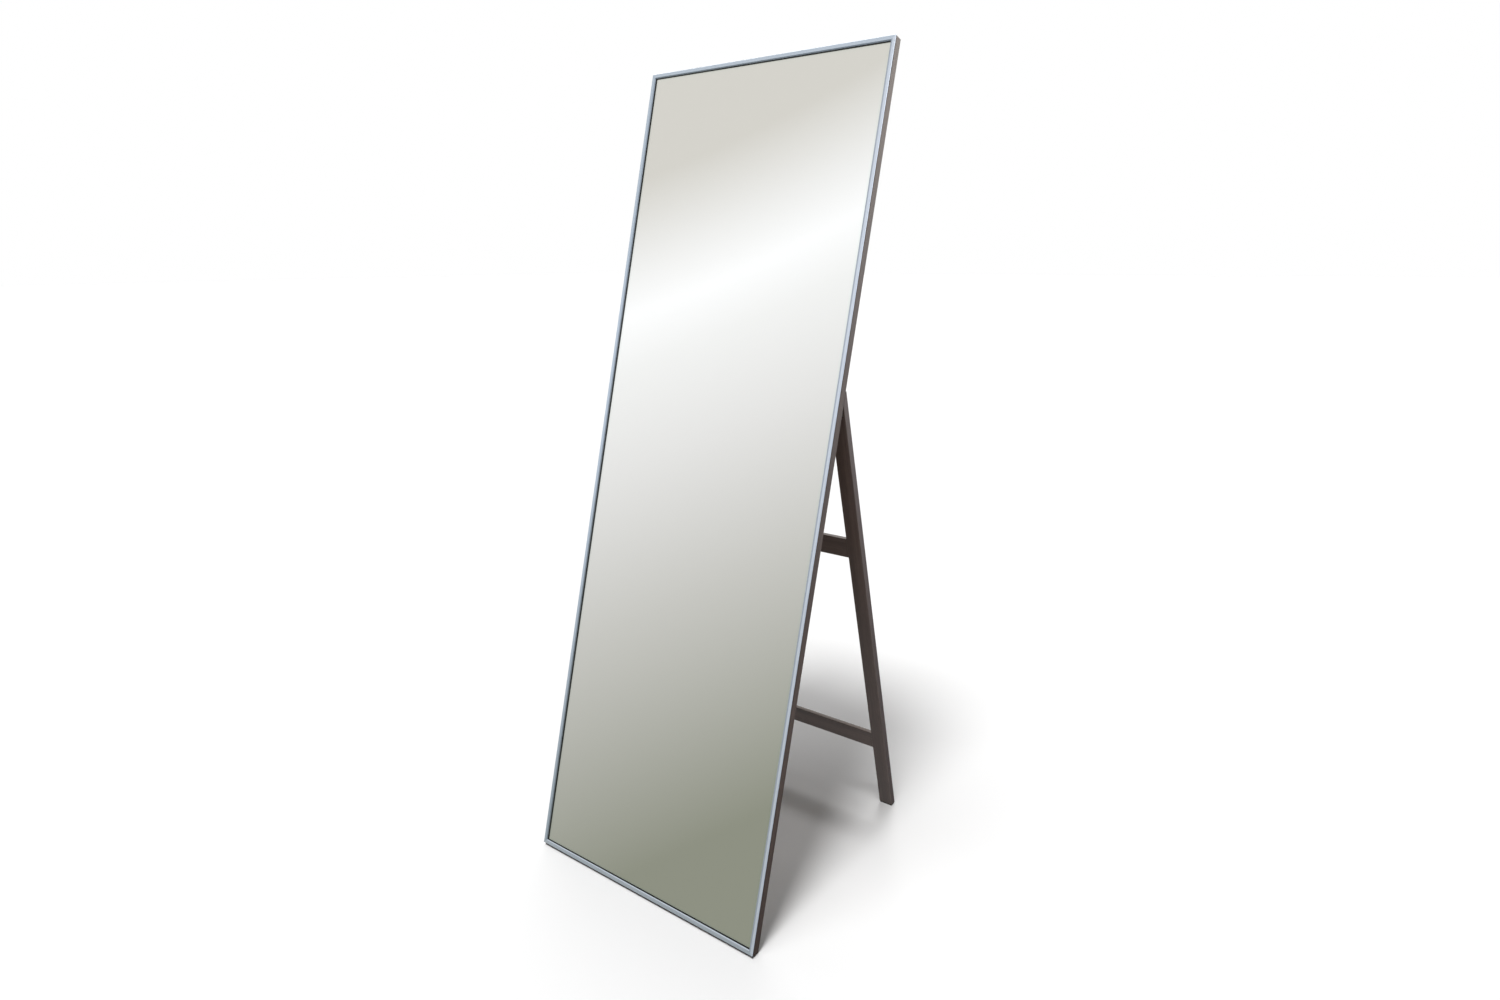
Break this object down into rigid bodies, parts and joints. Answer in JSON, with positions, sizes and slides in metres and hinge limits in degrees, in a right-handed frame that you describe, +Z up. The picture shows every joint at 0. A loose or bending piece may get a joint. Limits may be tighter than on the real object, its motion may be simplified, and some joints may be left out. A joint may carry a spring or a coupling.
{
  "type": "floor mirror",
  "caption": "Full-length floor mirror in a slim dark brown frame with a silver face trim, leaning back on a hinged ladder stand that folds flat against its back.",
  "frame": {"origin": "on the floor under the middle of the standing mirror's outer box", "axes": "+Z up, +X to the right seen from the front, +Y to the back, towards the stand"},
  "size_m": [0.54, 0.5576, 1.5485],
  "materials": {
    "brown_wood": "satin dark brown foil",
    "silver_trim": "satin anodised",
    "silvered_glass": "polished, silvered on the back",
    "foam_tape": "closed cell foam",
    "hardboard": "raw brown hardboard",
    "plywood_key": "raw plywood",
    "steel": "zinc plated",
    "rubber_pad": "matte"
  },
  "bodies": {
    "mirror": {"left_stile": "brown_wood", "right_stile": "brown_wood", "top_bar": "brown_wood", "bottom_bar": "brown_wood", "left_trim": "silver_trim", "right_trim": "silver_trim", "top_trim": "silver_trim", "bottom_trim": "silver_trim", "left_hinge_frame_leaf": "steel", "right_hinge_frame_leaf": "steel", "left_hinge_pin": "steel", "right_hinge_pin": "steel", "hinge_frame_screws": "steel", "back_board_screws": "steel", "left_base_pad": "rubber_pad", "right_base_pad": "rubber_pad", "mirror_glass": "silvered_glass", "back_board": "hardboard", "corner_keys": "plywood_key", "mounting_tape": "foam_tape"},
    "stand": {"left_leg": "brown_wood", "right_leg": "brown_wood", "upper_rail": "brown_wood", "lower_rail": "brown_wood", "left_foot_pad": "rubber_pad", "right_foot_pad": "rubber_pad", "left_hinge_leg_leaf": "steel", "right_hinge_leg_leaf": "steel", "hinge_leg_screws": "steel"}
  },
  "joints": [
    {"name": "stand_fold", "type": "hinge", "parent": "mirror", "child": "stand", "pos_m": [0, 0.00198, 0.94385], "axis": [-1, 0, 0], "range_deg": [0, 31]}
  ]
}
